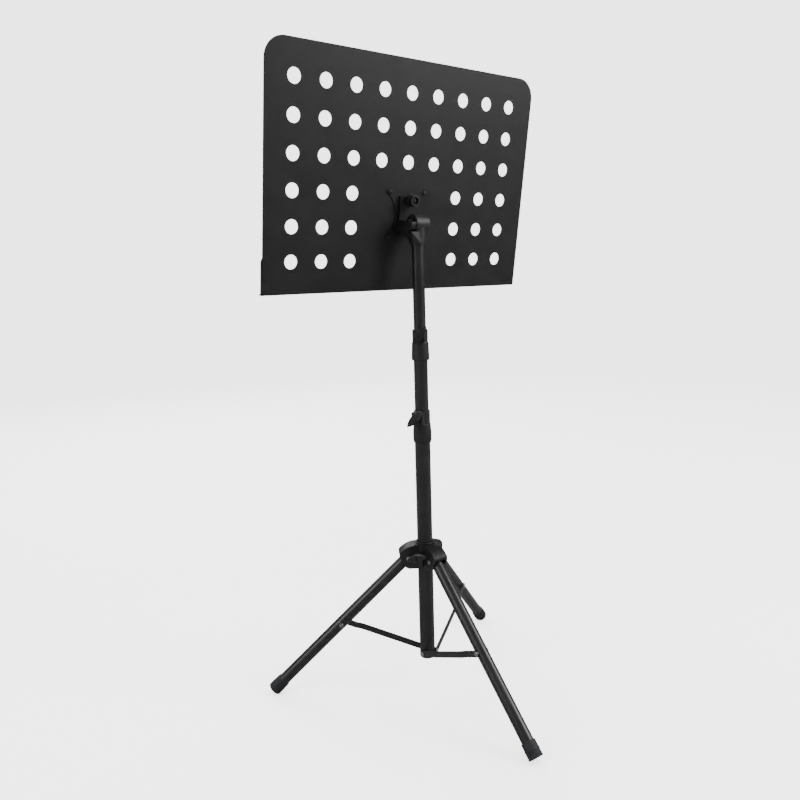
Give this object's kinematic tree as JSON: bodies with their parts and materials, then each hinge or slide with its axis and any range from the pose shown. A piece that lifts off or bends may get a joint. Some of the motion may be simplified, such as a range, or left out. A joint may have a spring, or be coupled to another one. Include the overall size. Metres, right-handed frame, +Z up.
{
  "type": "music stand",
  "caption": "Folding orchestral music stand: perforated desk with a score ledge on a swivelling telescopic mast over a strutted folding tripod.",
  "frame": {"origin": "on the floor under the mast's axis", "axes": "+Z up the mast; the desk's reading side faces -Y and its back faces +Y; X runs across the desk"},
  "size_m": [0.496, 0.4174, 0.9974],
  "materials": {
    "desk_powder": "satin fine-texture black powder coat",
    "tube_powder": "smooth satin black powder coat",
    "moulded_black": "fine-grained black moulding",
    "foot_rubber": "matt black rubber, slightly blue",
    "zinc_steel": "bright zinc-plated steel"
  },
  "bodies": {
    "stand": {"lower_tube": "tube_powder", "spider": "moulded_black", "spider_rivets": "zinc_steel", "lower_collar": "moulded_black", "lower_clamp_shoe": "zinc_steel"},
    "runner": {"hub_body": "moulded_black", "hub_clamp_shoe": "zinc_steel", "leg_pivot_rivets": "zinc_steel"},
    "hub_knob": {"hub_wing_knob": "moulded_black", "hub_wing_screw": "zinc_steel"},
    "lower_knob": {"lower_wing_knob": "moulded_black", "lower_wing_screw": "zinc_steel"},
    "middle_guide": {"middle_bush": "moulded_black"},
    "middle_mast": {"middle_tube": "tube_powder", "upper_collar": "moulded_black", "upper_clamp_shoe": "zinc_steel"},
    "upper_knob": {"upper_wing_knob": "moulded_black", "upper_wing_screw": "zinc_steel"},
    "upper_guide": {"upper_bush": "moulded_black"},
    "upper_mast": {"upper_tube": "tube_powder", "tilt_head": "moulded_black", "friction_disc": "moulded_black", "tilt_bolt": "zinc_steel"},
    "tilt": {"tilt_arm": "moulded_black", "tilt_nut": "zinc_steel", "tongue_screws": "zinc_steel", "mount_tongue": "desk_powder"},
    "desk": {"desk_panel": "desk_powder", "desk_bracket": "desk_powder", "bracket_rivets": "desk_powder", "lock_nut": "desk_powder"},
    "lock": {"lock_knob": "moulded_black"},
    "leg_a": {"leg_a": "tube_powder", "foot_a": "foot_rubber", "leg_rivet_a": "zinc_steel"},
    "stay_a": {"stay_a": "tube_powder", "stay_rivet_a": "zinc_steel"},
    "leg_b": {"leg_b": "tube_powder", "foot_b": "foot_rubber", "leg_rivet_b": "zinc_steel"},
    "stay_b": {"stay_b": "tube_powder", "stay_rivet_b": "zinc_steel"},
    "leg_c": {"leg_c": "tube_powder", "foot_c": "foot_rubber", "leg_rivet_c": "zinc_steel"},
    "stay_c": {"stay_c": "tube_powder", "stay_rivet_c": "zinc_steel"}
  },
  "joints": [
    {"name": "tripod_fold", "type": "slide", "parent": "stand", "child": "runner", "axis": [0, 0, 1], "range_m": [0, 0.13721]},
    {"name": "leg_a_fold", "type": "hinge", "parent": "runner", "child": "leg_a", "pos_m": [0.02348, -0.01525, 0.228], "axis": [0.5446, 0.8387, 0], "range_deg": [0, 46.25]},
    {"name": "leg_b_fold", "type": "hinge", "parent": "runner", "child": "leg_b", "pos_m": [0.00146, 0.02796, 0.228], "axis": [-0.9986, 0.0523, 0], "range_deg": [0, 46.25]},
    {"name": "leg_c_fold", "type": "hinge", "parent": "runner", "child": "leg_c", "pos_m": [-0.02495, -0.01271, 0.228], "axis": [0.454, -0.891, 0], "range_deg": [0, 46.25]},
    {"name": "stay_a_fold", "type": "hinge", "parent": "stand", "child": "stay_a", "pos_m": [0.00503, -0.00327, 0.059], "axis": [-0.5446, -0.8387, 0], "range_deg": [0, 58.16]},
    {"name": "stay_b_fold", "type": "hinge", "parent": "stand", "child": "stay_b", "pos_m": [0.00031, 0.00599, 0.059], "axis": [0.9986, -0.0523, 0], "range_deg": [0, 58.16]},
    {"name": "stay_c_fold", "type": "hinge", "parent": "stand", "child": "stay_c", "pos_m": [-0.00535, -0.00272, 0.059], "axis": [-0.454, 0.891, 0], "range_deg": [0, 58.16]},
    {"name": "hub_knob_turn", "type": "hinge", "parent": "runner", "child": "hub_knob", "pos_m": [0, 0, 0.234], "axis": [0.9135, 0.4067, 0], "range_deg": [0, 540]},
    {"name": "middle_height", "type": "slide", "parent": "stand", "child": "middle_guide", "axis": [0, 0, 1], "range_m": [-0.08, 0.195]},
    {"name": "middle_swivel", "type": "hinge", "parent": "middle_guide", "child": "middle_mast", "pos_m": [0, 0, 0.2], "axis": [0, 0, 1], "continuous": true},
    {"name": "lower_knob_turn", "type": "hinge", "parent": "stand", "child": "lower_knob", "pos_m": [0, 0, 0.46], "axis": [0.9135, 0.4067, 0], "range_deg": [0, 540]},
    {"name": "upper_height", "type": "slide", "parent": "middle_mast", "child": "upper_guide", "axis": [0, 0, 1], "range_m": [-0.128, 0.17]},
    {"name": "upper_swivel", "type": "hinge", "parent": "upper_guide", "child": "upper_mast", "pos_m": [0, 0, 0.37], "axis": [0, 0, 1], "continuous": true},
    {"name": "upper_knob_turn", "type": "hinge", "parent": "middle_mast", "child": "upper_knob", "pos_m": [0, 0, 0.59], "axis": [0.6947, 0.7193, 0], "range_deg": [0, 540]},
    {"name": "desk_tilt", "type": "hinge", "parent": "upper_mast", "child": "tilt", "pos_m": [0, 0, 0.761], "axis": [-1, 0, 0], "range_deg": [-10, 80]},
    {"name": "desk_lift_off", "type": "slide", "parent": "tilt", "child": "desk", "axis": [0, 0.1461, 0.9893], "range_m": [0, 0.035]},
    {"name": "lock_knob_turn", "type": "hinge", "parent": "desk", "child": "lock", "pos_m": [0, -0.01366, 0.79658], "axis": [0, 0.9893, -0.1461], "range_deg": [0, 720]}
  ],
  "couplings": [
    {"joint": "leg_a_fold", "follows": "tripod_fold", "rad_per_m": 5.8801},
    {"joint": "leg_b_fold", "follows": "tripod_fold", "rad_per_m": 5.8801},
    {"joint": "leg_c_fold", "follows": "tripod_fold", "rad_per_m": 5.8801},
    {"joint": "stay_a_fold", "follows": "tripod_fold", "rad_per_m": 7.3957},
    {"joint": "stay_b_fold", "follows": "tripod_fold", "rad_per_m": 7.3957},
    {"joint": "stay_c_fold", "follows": "tripod_fold", "rad_per_m": 7.3957}
  ]
}
